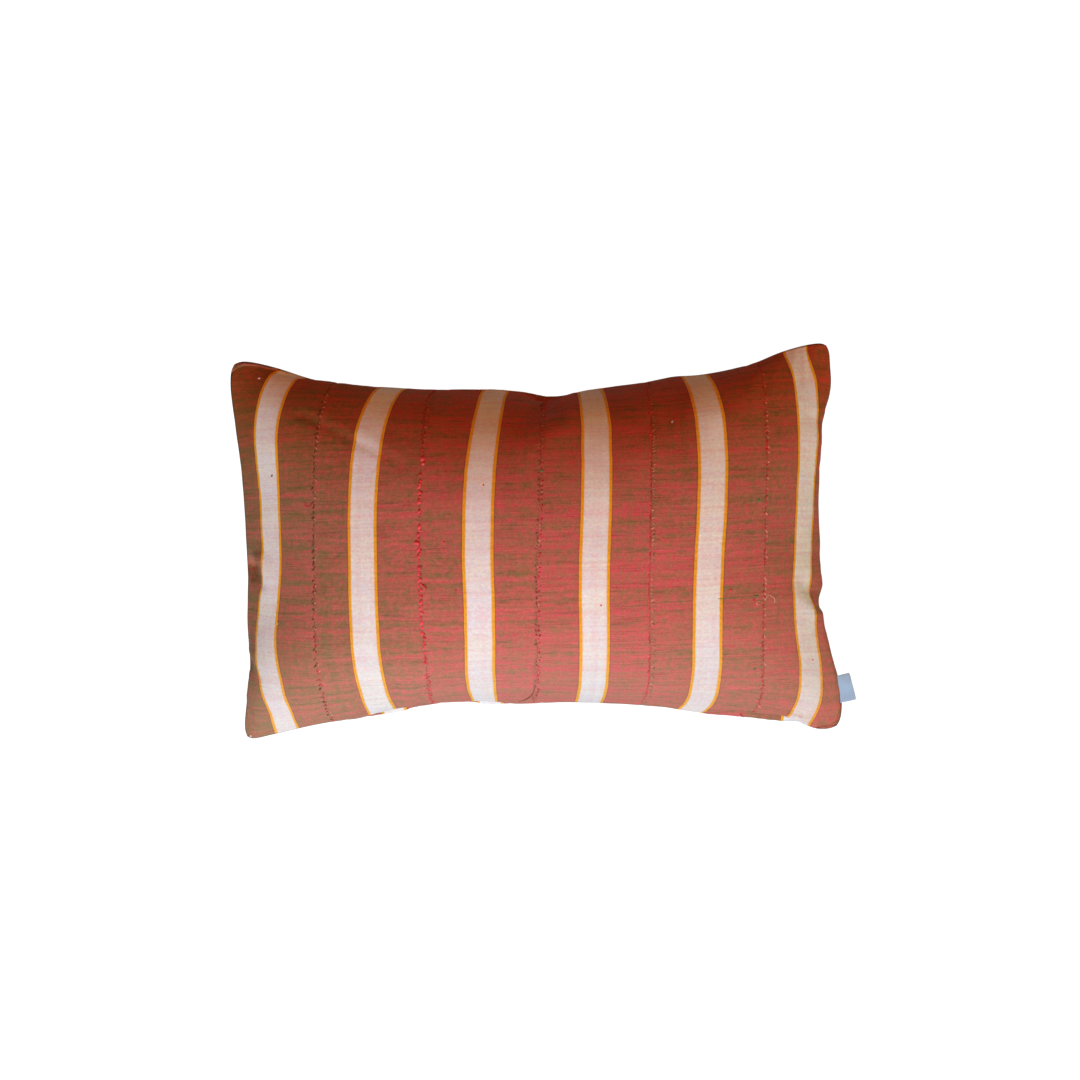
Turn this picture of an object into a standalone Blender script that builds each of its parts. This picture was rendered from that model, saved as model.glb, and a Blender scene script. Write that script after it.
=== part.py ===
"""Lumbar cushion: a cover of hand-woven strips over a loose filling, lying on its back, with a side tab.

Metres, +Z up. The origin is the middle of the flat patch that the cushion rests on. +X runs along its
length and +Y towards its upper long edge. Fractions across and up the cover run from 0 to 1.
"""
import math

import bmesh
import bpy
import numpy as np

# The filled form, measured from the plane of the side seam
CROWN_HEIGHT = 0.084
BACK_DEPTH = 0.080
REST_DEPTH = 0.072
CROWN_POWER_ACROSS = 2.66
CROWN_POWER_UP = 2.69
SHOULDER_POWER = 0.76
EAR_DROOP = 0.009
EAR_POWER = 5.0

# Corners of the sewn outline, before their ears are rounded: x, y
CORNERS = {
    "low left": (-0.2775, -0.1856),
    "low right": (0.2817, -0.1763),
    "top left": (-0.2891, 0.1699),
    "top right": (0.2717, 0.1871),
}
EAR_ROUNDING = 0.0058
EAR_REACH = 0.0075

# Seam edges: first corner, second corner, draw-in at the middle, power of its curve, inward side
EDGES = {
    "bottom": ("low left", "low right", 0.0303, 1.93, 1),
    "top": ("top left", "top right", 0.0371, 2.82, -1),
    "left": ("low left", "top left", 0.0099, 2.22, -1),
    "right": ("low right", "top right", 0.0169, 2.17, 1),
}

# Dips of the seam (a swell is negative): edge, place as a fraction, depth, half width as a fraction
SEAM_DIPS = (
    ("bottom", 0.33, 0.0054, 0.095),
    ("bottom", 0.48, -0.0013, 0.050),
    ("bottom", 0.77, -0.0022, 0.088),
    ("top", 0.04, -0.0061, 0.057),
    ("top", 0.536, 0.0094, 0.051),
    ("top", 0.95, -0.0074, 0.065),
    ("left", 0.19, 0.0038, 0.073),
    ("left", 0.41, 0.0016, 0.036),
    ("left", 0.89, -0.0040, 0.140),
    ("right", 0.095, -0.0053, 0.110),
    ("right", 0.315, 0.0039, 0.060),
    ("right", 0.79, 0.0027, 0.023),
    ("right", 0.876, -0.0043, 0.073),
)

# Where the filling is fuller or thinner: fraction across, fraction up, rise, reach
FILLING_LUMPS = (
    (0.07, 0.14, 0.0100, 0.09),
    (0.80, 0.13, -0.0065, 0.12),
    (0.50, 0.11, -0.0040, 0.10),
    (0.15, 0.90, 0.0040, 0.08),
    (0.84, 0.88, 0.0045, 0.07),
)

# Creases of the front: start x, start y, end x, end y, depth, half width
CREASES = {
    "left pucker": (-0.270, -0.052, -0.246, -0.026, 0.0050, 0.0060),
    "low left tuck": (-0.268, -0.109, -0.246, -0.121, 0.0045, 0.0055),
    "upper right tuck": (0.262, 0.108, 0.243, 0.114, 0.0035, 0.0060),
    "low right pucker": (0.261, -0.056, 0.238, -0.040, 0.0055, 0.0070),
    "top dimple": (0.008, 0.133, -0.002, 0.088, 0.0060, 0.0130),
    "upper left pull": (-0.215, 0.112, -0.120, 0.066, 0.0018, 0.0060),
}

# The folded side tab: place along the right seam, size, thickness of a layer and lie
TAB_PLACE = 0.101
TAB_WIDTH = 0.0255
TAB_LENGTH = 0.0135
TAB_LAYER = 0.0010
TAB_SLIT = 0.0004
TAB_SKEW = 0.10
TAB_DROOP = 0.10
TAB_CURL = 0.0012
SEAT_GAP = 0.0003

# Fineness of the meshes
CELLS_ACROSS = 64
CELLS_UP = 42
EDGE_CROWDING = 0.6
TAB_STATIONS = 9
TAB_FOLD_STEPS = 8


def clear_scene():
    """Remove every object of the open scene."""
    for old in list(bpy.data.objects):
        bpy.data.objects.remove(old, do_unlink=True)


def cloth_material(name, colour, roughness):
    """A plain woven finish: linear colour and roughness."""
    material = bpy.data.materials.new(name)
    material.use_nodes = True
    shader = material.node_tree.nodes["Principled BSDF"]
    shader.inputs["Base Color"].default_value = (*colour, 1.0)
    shader.inputs["Roughness"].default_value = roughness
    shader.inputs["Metallic"].default_value = 0.0
    return material


def seam(edge, fractions):
    """Points of one seam edge, as rows of x and y, at fractions of its chord."""
    first, second, draw_in, power, side = EDGES[edge]
    start = np.array(CORNERS[first])
    end = np.array(CORNERS[second])
    chord = end - start
    length = np.linalg.norm(chord)
    inward = side * np.array([-chord[1], chord[0]]) / length
    at = np.asarray(fractions, dtype=float)
    depth = draw_in * (1.0 - np.abs(2.0 * at - 1.0) ** power)
    fade = np.clip(12.0 * at * (1.0 - at), 0.0, 1.0)
    for where, place, deep, half_width in SEAM_DIPS:
        if where == edge:
            depth = depth + deep * fade * np.exp(-(((at - place) / half_width) ** 2))
    points = start + at[:, None] * chord + depth[:, None] * inward
    for corner, distance in ((start, at * length), (end, (1.0 - at) * length)):
        pull = EAR_ROUNDING * np.exp(-((distance / EAR_REACH) ** 2))
        points = points - pull[:, None] * corner / np.linalg.norm(corner)
    return points


def plan(across, up):
    """Plan positions of a net of cover points, spread evenly between the four seam edges."""
    bottom = seam("bottom", across)[None, :, :]
    top = seam("top", across)[None, :, :]
    left = seam("left", up)[:, None, :]
    right = seam("right", up)[:, None, :]
    u = across[None, :, None]
    v = up[:, None, None]
    lengthways = (1.0 - v) * bottom + v * top
    crossways = (1.0 - u) * left + u * right
    low = (1.0 - u) * bottom[:, :1] + u * bottom[:, -1:]
    high = (1.0 - u) * top[:, :1] + u * top[:, -1:]
    return lengthways + crossways - (1.0 - v) * low - v * high


def fullness(across, up):
    """How full the filling is at fractions across and up: 0 on the seam, 1 at the crown."""
    rise_across = 1.0 - np.abs(2.0 * across - 1.0) ** CROWN_POWER_ACROSS
    rise_up = 1.0 - np.abs(2.0 * up - 1.0) ** CROWN_POWER_UP
    return (rise_across * rise_up) ** SHOULDER_POWER


def lumps(across, up):
    """Extra height where the filling has settled unevenly."""
    total = np.zeros_like(across)
    for place_across, place_up, rise, reach in FILLING_LUMPS:
        distance = np.hypot(across - place_across, up - place_up)
        total += rise * np.exp(-((distance / reach) ** 2))
    return total


def seam_level(across, up):
    """Height of the seam: level along the edges, lower where the ears droop."""
    ears = np.abs(2.0 * across - 1.0) ** EAR_POWER * np.abs(2.0 * up - 1.0) ** EAR_POWER
    return REST_DEPTH - EAR_DROOP * ears


def crease_depth(x, y):
    """Depth of the creases below the crown at plan positions."""
    total = np.zeros_like(x)
    for start_x, start_y, end_x, end_y, deep, half_width in CREASES.values():
        run = np.array([end_x - start_x, end_y - start_y])
        length = np.linalg.norm(run)
        run = run / length
        along = (x - start_x) * run[0] + (y - start_y) * run[1]
        aside = (y - start_y) * run[0] - (x - start_x) * run[1]
        past_end = np.clip(along - length, 0.0, None) - np.clip(along, None, 0.0)
        fade = 1.0 - 0.7 * np.clip(along / length, 0.0, 1.0)
        total += deep * fade * np.exp(-((aside / half_width) ** 2) - (past_end / half_width) ** 2)
    return total


def crowded(cells):
    """Fractions from 0 to 1, closer together near both ends."""
    even = np.linspace(0.0, 1.0, cells + 1)
    return even - EDGE_CROWDING * np.sin(2.0 * math.pi * even) / (2.0 * math.pi)


def cover_points():
    """Front and back points of the cover, as nets of x, y and z."""
    across = crowded(CELLS_ACROSS)
    up = crowded(CELLS_UP)
    net = plan(across, up)
    across_net, up_net = np.meshgrid(across, up)
    full = fullness(across_net, up_net)
    level = seam_level(across_net, up_net)
    uneven = lumps(across_net, up_net) * np.sqrt(full)
    creased = crease_depth(net[..., 0], net[..., 1]) * np.clip(2.5 * full, 0.0, 1.0)
    front = level + CROWN_HEIGHT * full + uneven - creased
    back = np.maximum(level - BACK_DEPTH * full - uneven, 0.0)
    return net, front, back


def build_cushion():
    """The filled cover: two crowned panels sewn together along the side seam."""
    net, front, back = cover_points()
    shape = bmesh.new()
    for heights, flip in ((front, False), (back, True)):
        rows = [[shape.verts.new((*net[j, i], heights[j, i])) for i in range(CELLS_ACROSS + 1)]
                for j in range(CELLS_UP + 1)]
        for j in range(CELLS_UP):
            for i in range(CELLS_ACROSS):
                corners = [rows[j][i], rows[j][i + 1], rows[j + 1][i + 1], rows[j + 1][i]]
                shape.faces.new(corners[::-1] if flip else corners)
    bmesh.ops.remove_doubles(shape, verts=shape.verts, dist=0.00001)
    mesh = bpy.data.meshes.new("cushion")
    shape.to_mesh(mesh)
    shape.free()
    mesh.shade_smooth()
    mesh.set_sharp_from_angle(angle=math.radians(50.0))
    mesh.materials.append(cloth_material("cover_cloth", (0.434, 0.100, 0.071), 0.86))
    cushion = bpy.data.objects.new("cushion", mesh)
    bpy.context.scene.collection.objects.link(cushion)


def tab_section():
    """Outline of the folded tab, root to fold and back: distance out from the seam, height."""
    half_slit = TAB_SLIT / 2.0
    outer = half_slit + TAB_LAYER
    bend = TAB_LENGTH - outer
    angles = [math.pi * (0.5 - step / TAB_FOLD_STEPS) for step in range(TAB_FOLD_STEPS + 1)]
    outside = [(bend + outer * math.cos(a), outer * math.sin(a)) for a in angles]
    inside = [(bend + half_slit * math.cos(a), half_slit * math.sin(a)) for a in reversed(angles)]
    straight = [bend * step / 4.0 for step in range(4)]
    section = [(x, outer) for x in straight] + outside + [(x, -outer) for x in reversed(straight)]
    section += [(x, -half_slit) for x in straight] + inside + [(x, half_slit) for x in reversed(straight)]
    return section


def build_tab():
    """The side tab: a tape folded in two, its cut ends at the right seam, swept along the seam."""
    chord = np.linalg.norm(np.subtract(CORNERS["top right"], CORNERS["low right"]))
    half = 0.5 * TAB_WIDTH / chord
    fractions = np.linspace(TAB_PLACE - half, TAB_PLACE + half, TAB_STATIONS)
    roots = seam("right", fractions)
    levels = seam_level(np.ones_like(fractions), fractions)
    along = (roots[-1] - roots[0]) / np.linalg.norm(roots[-1] - roots[0])
    out = np.array([along[1], -along[0]])
    section = tab_section()
    shape = bmesh.new()
    rings = []
    for root, level, fraction in zip(roots, levels, np.linspace(-0.5, 0.5, TAB_STATIONS)):
        curl = TAB_CURL * math.cos(math.pi * fraction)
        ring = []
        for distance, height in section:
            place = root + (SEAT_GAP + distance) * out + TAB_SKEW * distance * along
            lie = curl * (distance / TAB_LENGTH) ** 2 - TAB_DROOP * distance
            ring.append(shape.verts.new((place[0], place[1], level + height + lie)))
        rings.append(ring)
    for near, far in zip(rings, rings[1:]):
        for k in range(len(section)):
            following = (k + 1) % len(section)
            shape.faces.new((near[k], near[following], far[following], far[k]))
    shape.faces.new(rings[0][::-1])
    shape.faces.new(rings[-1])
    bmesh.ops.recalc_face_normals(shape, faces=shape.faces)
    mesh = bpy.data.meshes.new("tab")
    shape.to_mesh(mesh)
    shape.free()
    mesh.shade_smooth()
    mesh.set_sharp_from_angle(angle=math.radians(40.0))
    mesh.materials.append(cloth_material("tab_tape", (0.340, 0.450, 0.570), 0.80))
    tab = bpy.data.objects.new("tab", mesh)
    bpy.context.scene.collection.objects.link(tab)


clear_scene()
build_cushion()
build_tab()
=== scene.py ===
import math
import random
import bmesh
import bpy
import numpy as np
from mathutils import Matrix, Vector, noise


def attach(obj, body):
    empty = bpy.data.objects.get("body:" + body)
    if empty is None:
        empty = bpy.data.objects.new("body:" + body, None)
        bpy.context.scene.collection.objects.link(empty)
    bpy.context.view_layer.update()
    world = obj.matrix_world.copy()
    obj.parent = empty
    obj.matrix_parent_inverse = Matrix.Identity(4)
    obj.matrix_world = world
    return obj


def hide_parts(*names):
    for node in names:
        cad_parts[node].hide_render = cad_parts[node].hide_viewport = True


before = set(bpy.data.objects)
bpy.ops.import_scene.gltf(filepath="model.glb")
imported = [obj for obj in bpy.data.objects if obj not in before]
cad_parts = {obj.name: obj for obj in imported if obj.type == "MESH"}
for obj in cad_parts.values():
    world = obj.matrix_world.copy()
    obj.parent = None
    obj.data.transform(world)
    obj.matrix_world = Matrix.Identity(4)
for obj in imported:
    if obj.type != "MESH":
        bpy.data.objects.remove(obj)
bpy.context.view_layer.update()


# The cover: two flat panels, front and back, each pieced from hand-woven cotton strips,
# sewn together all round and turned right side out. The filling blows them up against the
# seam, which is drawn in between the ears; the back is pressed flat where the cushion lies.
CUT_WIDTH = 0.574
CUT_HEIGHT = 0.360
STRIP_WIDTH = 0.0985
FIRST_STRIPE = -0.2420
SEAM_LEVEL = 0.072
CELLS_ACROSS = 116
CELLS_UP = 74
PANEL_GAP = 0.0005

# Blowing up: frames, the most that a point may move, the share of the rise kept in front, how softly the
# back is pressed flat, how sharp the seam stays
LAST_FRAME = 26
MOST_MOVE = 0.090
CROWN_SHARE = 0.965
PRESS_ROUNDING = 0.004
SEAM_SHARPNESS = 0.6

# Where the seam rolls to the front along the bottom edge and the back panel shows below it: x, half
# width, strength
ROLLS = ((-0.138, 0.024, 1.0), (-0.0465, 0.018, 1.0), (0.192, 0.052, 1.15))
ROLL_INSET = 0.0028
ROLL_LIFT = 0.0022
ROLL_FADE = 0.018
ROLL_BULGE = 0.0057
ROLL_REACH = 0.012

# The seam in steps of a millimetre, its ears rounded over so many steps
SEAM_STEP = 0.001
EAR_ROUNDING = 8
# Where it stands out, or is drawn in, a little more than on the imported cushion, in millimetres:
# x, y, push along x, push along y, reach. The first four are the ears.
SEAM_PUSHES = (
    (-288.0, 169.0, -2.6, 2.0, 16.0),
    (272.0, 186.0, 3.4, 3.6, 18.0),
    (-276.0, -184.0, -3.2, -6.4, 17.0),
    (282.0, -176.0, 3.6, -4.6, 16.0),
    (276.0, 148.0, 2.2, 0.0, 26.0),
    (262.0, 98.0, -1.8, 0.0, 8.0),
    (264.0, 0.0, 1.2, 0.0, 14.0),
    (262.0, -42.0, 3.6, 0.0, 9.0),
    (264.0, -56.0, -1.4, 0.0, 7.0),
    (284.0, -146.0, 2.2, 0.0, 22.0),
    (-286.0, 150.0, -1.0, 0.0, 20.0),
    (-244.0, -174.0, 0.0, -1.6, 30.0),
    (-140.0, -160.0, 0.0, -2.8, 48.0),
    (-48.0, -158.0, 0.0, -2.2, 24.0),
    (146.0, -160.0, 0.0, -2.8, 20.0),
    (180.0, -162.0, 0.0, 1.6, 14.0),
    (222.0, -166.0, 0.0, 1.0, 12.0),
    (256.0, -178.0, 0.0, -5.0, 16.0),
    (-170.0, 150.0, 0.0, -1.4, 40.0),
    (14.0, 150.0, 0.0, -1.2, 14.0),
    (70.0, 150.0, 0.0, -2.2, 26.0),
    (126.0, 150.0, 0.0, 2.0, 14.0),
)

# Where the middle of each white stripe is caught in the top and the bottom seam: x
STRIPES_AT_TOP = (-0.2390, -0.1423, -0.0437, 0.0493, 0.1469, 0.2427)
STRIPES_AT_BOTTOM = (-0.2344, -0.1423, -0.0507, 0.0484, 0.1400, 0.2418)


def seam_of(solid):
    """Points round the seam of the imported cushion, in order: where its front faces meet its back faces."""
    shape = bmesh.new()
    shape.from_mesh(solid.data)
    bmesh.ops.remove_doubles(shape, verts=shape.verts, dist=0.00005)
    bmesh.ops.recalc_face_normals(shape, faces=shape.faces)
    beside = {}
    for edge in shape.edges:
        facing = [face.normal.z > 0.0 for face in edge.link_faces]
        if facing.count(True) == 1 and facing.count(False) == 1:
            for one, other in (edge.verts, reversed(edge.verts)):
                beside.setdefault(one, []).append(other)
    here = min(beside, key=lambda vertex: vertex.co.x + vertex.co.y)
    following = max(beside[here], key=lambda vertex: vertex.co.x)
    loop = [here]
    while following is not loop[0]:
        loop.append(following)
        following = next(vertex for vertex in beside[following] if vertex is not loop[-2])
    points = np.array([vertex.co for vertex in loop])
    shape.free()
    return points


def along(line, fractions):
    """Points at fractions of a line's length."""
    steps = np.linalg.norm(np.diff(line, axis=0), axis=1)
    length = np.concatenate([[0.0], np.cumsum(steps)])
    at = np.asarray(fractions) * length[-1]
    return np.stack([np.interp(at, length, line[:, axis]) for axis in range(3)], axis=1)


def settled_seam(points):
    """The seam in fine steps, its ears rounded and each push given to the points near it."""
    around = np.vstack([points, points[:1]])
    length = np.linalg.norm(np.diff(around, axis=0), axis=1).sum()
    fine = along(around, np.arange(0.0, 1.0, SEAM_STEP / length))
    reach = 4 * EAR_ROUNDING
    window = np.exp(-0.5 * (np.arange(-reach, reach + 1) / EAR_ROUNDING) ** 2)
    window /= window.sum()
    padded = np.pad(fine, ((reach, reach), (0, 0)), mode="wrap")
    fine = np.stack([np.convolve(column, window, mode="valid") for column in padded.T], axis=1)
    for x, y, push_x, push_y, reach in 0.001 * np.array(SEAM_PUSHES):
        near = np.exp(-((fine[:, 0] - x) ** 2 + (fine[:, 1] - y) ** 2) / reach**2)
        fine[:, 0] += push_x * near
        fine[:, 1] += push_y * near
    return np.roll(fine, -int(np.argmin(fine[:, 0] + fine[:, 1])), axis=0)


def seam_edges(points):
    """The four sides of the seam between its ears, each running left to right or upwards."""
    low_right = int(np.argmax(points[:, 0] - points[:, 1]))
    top_right = int(np.argmax(points[:, 0] + points[:, 1]))
    top_left = int(np.argmax(points[:, 1] - points[:, 0]))
    around = np.vstack([points, points[:1]])
    return {
        "bottom": around[: low_right + 1],
        "right": around[low_right : top_right + 1],
        "top": around[top_right : top_left + 1][::-1],
        "left": around[top_left:][::-1],
    }


def gathered(line, caught_at, fractions):
    """Fractions of a seam's length at which fractions of the cloth's width are sewn down."""
    fine = np.linspace(0.0, 1.0, 401)
    places = along(line, fine)[:, 0]
    on_seam = [np.interp(x, places, fine) for x in caught_at]
    on_cloth = [0.5 + (FIRST_STRIPE + strip * STRIP_WIDTH) / CUT_WIDTH for strip in range(6)]
    return np.interp(fractions, [0.0, *on_cloth, 1.0], [0.0, *on_seam, 1.0])


def sewn_place(across, up, edges):
    """Where points of a panel lie when it is stretched flat between its four seams."""
    bottom = along(edges["bottom"], gathered(edges["bottom"], STRIPES_AT_BOTTOM, across))
    top = along(edges["top"], gathered(edges["top"], STRIPES_AT_TOP, across))
    left = along(edges["left"], up)
    right = along(edges["right"], up)
    u = across[:, None]
    v = up[:, None]
    corners = [edges[side][end] for side in ("bottom", "top") for end in (0, -1)]
    low = (1.0 - u) * corners[0] + u * corners[1]
    high = (1.0 - u) * corners[2] + u * corners[3]
    return (1.0 - v) * (bottom - low) + v * (top - high) + (1.0 - u) * left + u * right


def rows_of(items, field):
    """One three-number field of a mesh's points, as rows."""
    numbers = np.empty(3 * len(items))
    items.foreach_get(field, numbers)
    return numbers.reshape(-1, 3)


def points_of(mesh):
    """The mesh's vertex positions, as rows."""
    return rows_of(mesh.vertices, "co")


def move_points(mesh, points):
    """Put the mesh's vertices at the given rows."""
    mesh.vertices.foreach_set("co", points.ravel())
    mesh.update()


# Cut the front panel, lay the back panel on it and join the two along their rim. Each point keeps its place
# on the cut cloth: across, up, and 1 on the front, -1 on the back or 0 on the rim.
bpy.ops.object.select_all(action="DESELECT")
bpy.ops.mesh.primitive_grid_add(
    x_subdivisions=CELLS_ACROSS, y_subdivisions=CELLS_UP, size=1.0, location=(0.0, 0.0, 0.0)
)
cover = bpy.context.active_object
cover.name = "cushion_cover"
cover.data.name = "cushion_cover"
cover.scale = (CUT_WIDTH, CUT_HEIGHT, 1.0)
bpy.ops.object.transform_apply(location=False, rotation=False, scale=True)
bpy.ops.object.mode_set(mode="EDIT")
bpy.ops.mesh.select_all(action="SELECT")
bpy.ops.mesh.duplicate()
bpy.ops.mesh.flip_normals()
bpy.ops.object.mode_set(mode="OBJECT")
mesh = cover.data
flat = points_of(mesh)
chosen = np.empty(len(mesh.vertices), dtype=bool)
mesh.vertices.foreach_get("select", chosen)
half_cell = 0.5 * CUT_WIDTH / CELLS_ACROSS
inside = np.abs(flat[:, 0]) < 0.5 * CUT_WIDTH - half_cell
inside &= np.abs(flat[:, 1]) < 0.5 * CUT_HEIGHT - half_cell
flat[:, 2] = np.where(inside & chosen, -PANEL_GAP, 0.0)
move_points(mesh, flat)
side = np.where(chosen, -1.0, 1.0) * inside
across_up_side = np.stack([flat[:, 0] / CUT_WIDTH + 0.5, flat[:, 1] / CUT_HEIGHT + 0.5, side], axis=1)
cut = mesh.attributes.new("cut", "FLOAT_VECTOR", "POINT")
cut.data.foreach_set("vector", across_up_side.ravel())
bpy.ops.object.mode_set(mode="EDIT")
bpy.ops.mesh.select_all(action="SELECT")
bpy.ops.mesh.remove_doubles(threshold=0.0001)
bpy.ops.object.mode_set(mode="OBJECT")

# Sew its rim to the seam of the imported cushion
cut = rows_of(mesh.attributes["cut"].data, "vector")
seam_lines = seam_edges(settled_seam(seam_of(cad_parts["cushion"])))
sewn = sewn_place(cut[:, 0], cut[:, 1], seam_lines)
on_rim = np.abs(cut[:, :2] - 0.5).max(axis=1) > 0.499
bpy.ops.object.shape_key_add(from_mix=False)
bpy.ops.object.shape_key_add(from_mix=False)
gathering = mesh.shape_keys.key_blocks[-1]
gathering.data.foreach_set("co", sewn.ravel())
cover.active_shape_key_index = 0
rim = cover.vertex_groups.new(name="rim")
rim.add([int(k) for k in np.flatnonzero(on_rim)], 1.0, "REPLACE")

# Blow it up while its rim is drawn in
gathering.value = 0.0
gathering.keyframe_insert("value", frame=1)
gathering.value = 1.0
gathering.keyframe_insert("value", frame=LAST_FRAME // 2)
bpy.ops.object.modifier_add(type="CLOTH")
cloth = cover.modifiers[-1]
fabric = cloth.settings
fabric.quality = 6
fabric.mass = 0.3
fabric.air_damping = 1.0
fabric.tension_stiffness = 200.0
fabric.compression_stiffness = 200.0
fabric.shear_stiffness = 5.0
fabric.bending_model = "ANGULAR"
fabric.bending_stiffness = 20.0
fabric.shear_damping = 5.0
fabric.bending_damping = 0.5
fabric.use_pressure = True
fabric.uniform_pressure_force = 1500.0
fabric.effector_weights.gravity = 0.0
fabric.vertex_group_mass = "rim"
fabric.pin_stiffness = 5.0
cloth.collision_settings.use_collision = False
cloth.point_cache.frame_start = 1
cloth.point_cache.frame_end = LAST_FRAME
for step in range(1, LAST_FRAME + 1):
    bpy.context.scene.frame_set(step)
blown = points_of(cover.evaluated_get(bpy.context.evaluated_depsgraph_get()).data)
bpy.ops.object.modifier_remove(modifier=cloth.name)
bpy.context.scene.frame_set(1)
bpy.ops.object.shape_key_remove(all=True)

# Hold back what has moved too far, settle the crown, roll the bottom seam and press the back flat
travel = blown - sewn
reach = np.linalg.norm(travel, axis=1, keepdims=True)
blown = sewn + travel * np.minimum(1.0, MOST_MOVE / np.maximum(reach, 1e-9))
in_front = cut[:, 2] > 0.0
blown[in_front, 2] = sewn[in_front, 2] + CROWN_SHARE * (blown[in_front, 2] - sewn[in_front, 2])
from_bottom = cut[:, 1] * CUT_HEIGHT
rolled = np.zeros(len(cut))
for middle, half_width, strength in ROLLS:
    rolled = np.maximum(rolled, strength * np.exp(-(np.abs(blown[:, 0] - middle) / half_width) ** 4))
behind = cut[:, 2] < 0.0
held = rolled * np.exp(-from_bottom / ROLL_FADE) * ~behind
near = from_bottom / ROLL_REACH
bulge = rolled * near * np.exp(1.0 - near) * behind
blown[:, 1] += ROLL_INSET * held - ROLL_BULGE * bulge
blown[:, 2] += ROLL_LIFT * held
height = blown[:, 2]
pressed = (height + PRESS_ROUNDING) ** 2 / (4.0 * PRESS_ROUNDING)
height = np.where(height < PRESS_ROUNDING, pressed, height)
blown[:, 2] = np.where(blown[:, 2] < -PRESS_ROUNDING, 0.0, height)
move_points(mesh, blown)

# One subdivision, with the seam kept as an edge
rim_edges = [edge.index for edge in mesh.edges if on_rim[edge.vertices[0]] and on_rim[edge.vertices[1]]]
creases = mesh.attributes.new("crease_edge", "FLOAT", "EDGE")
for index in rim_edges:
    creases.data[index].value = SEAM_SHARPNESS
bpy.ops.object.modifier_add(type="SUBSURF")
cover.modifiers[-1].levels = 1
cover.modifiers[-1].render_levels = 1
bpy.ops.object.modifier_apply(modifier=cover.modifiers[-1].name)
mesh.attributes.remove(mesh.attributes["crease_edge"])
cut = rows_of(mesh.attributes["cut"].data, "vector")

# Small relief: creases of the front (start x, start y, end x, end y, depth, half width), the lines where
# strips are joined, gathers along the seam and lumps of the filling (size, depth)
CREASES = (
    (-0.268, -0.024, -0.258, -0.040, 0.0072, 0.0068),
    (-0.270, -0.112, -0.258, -0.127, 0.0030, 0.0050),
    (0.262, 0.108, 0.246, 0.112, 0.0014, 0.0080),
    (0.261, -0.056, 0.238, -0.040, 0.0055, 0.0070),
    (0.002, 0.124, -0.018, 0.106, 0.0070, 0.0150),
    (-0.215, 0.112, -0.120, 0.066, 0.0012, 0.0045),
)
JOIN_DEPTH = 0.0006
JOIN_HALF_WIDTH = 0.0026
GATHER_DEPTH = 0.0007
GATHER_PITCH = 0.007
GATHER_REACH = 0.014
GATHER_START = 0.003
SMOOTH_BELOW = 0.010
LUMP_SIZES = ((0.055, 0.0012), (0.021, 0.0004))

# How far the front's lines are pulled aside from an even spacing, in millimetres: each stripe's two yellow
# lines and the join after it, from the bottom seam to the top one, smoothed over so many millimetres
YELLOW_LINE_OFF = 0.0114
LINE_SMOOTHING = 15
LINE_HEIGHTS = (-0.180, -0.150, -0.115, -0.080, -0.045, -0.010, 0.030, 0.070, 0.110, 0.145, 0.180)
LINES = (
    (-2.0, 3.2, -5.6, -14.4, -11.6, -4.1, -6.0, -6.5, -5.4, 0.2, 8.0),
    (-2.2, 0.3, -1.6, -8.8, -7.2, -3.8, -4.3, -3.5, -2.3, 3.0, 10.9),
    (-3.5, -3.0, -2.4, -2.4, -3.4, -3.0, -2.1, -0.9, 1.6, 4.2, 6.8),
    (-4.6, -6.1, -5.7, -5.7, -5.8, -4.8, -4.7, -3.2, 0.4, 6.2, 10.2),
    (-2.4, -4.1, -4.7, -4.8, -4.2, -3.8, -3.5, -1.4, 2.1, 6.1, 8.0),
    (-2.5, -2.3, -2.1, -2.3, -3.0, -2.9, -2.1, -1.2, -0.2, -1.0, -1.9),
    (-0.1, -4.3, -5.4, -3.3, -2.2, -2.6, -1.4, 0.4, 4.0, 6.2, 4.4),
    (-1.1, -3.5, -4.3, -2.4, -1.4, -1.5, -0.3, 1.5, 4.3, 5.4, 3.2),
    (-4.5, -4.0, -3.4, -2.7, -1.9, -0.9, 1.7, 3.7, 3.9, 3.5, 3.0),
    (-2.9, -2.8, -3.1, -3.0, -3.4, -2.6, 0.0, 1.5, 1.9, -0.3, -3.2),
    (-2.5, -1.8, -2.3, -2.2, -2.4, -1.6, 1.0, 2.6, 2.8, -0.6, -4.4),
    (-1.1, -1.7, -2.4, -3.4, -4.3, -3.4, -1.5, 0.5, 2.2, 0.8, -0.9),
    (-1.3, -0.1, -0.4, -1.9, -1.9, -0.2, 2.9, 5.2, 4.4, 1.3, -3.4),
    (0.0, 1.7, 1.6, -0.5, -0.2, 1.7, 5.2, 7.5, 5.9, 1.6, -4.8),
    (6.4, 5.2, 3.6, 2.8, 4.0, 6.9, 9.3, 10.8, 10.0, 9.0, 8.1),
    (-1.0, 3.0, 4.3, -1.3, -1.8, 5.2, 8.6, 10.6, 8.7, 4.8, -5.0),
    (-2.8, 3.2, 6.1, 2.9, 1.0, 7.0, 11.5, 11.7, 10.5, 6.9, -3.1),
)
# The back panel is seamed a little tighter, and its stripes lie aside of the front's
FIRST_BACK_STRIPE = -0.2318
BACK_STRIP_WIDTH = 0.0955


def line_place(number):
    """Where a line of the front lies at an even spacing, in strip widths from the first stripe."""
    strip, kind = divmod(number, 3)
    return strip + (-YELLOW_LINE_OFF / STRIP_WIDTH, YELLOW_LINE_OFF / STRIP_WIDTH, 0.5)[kind]


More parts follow.
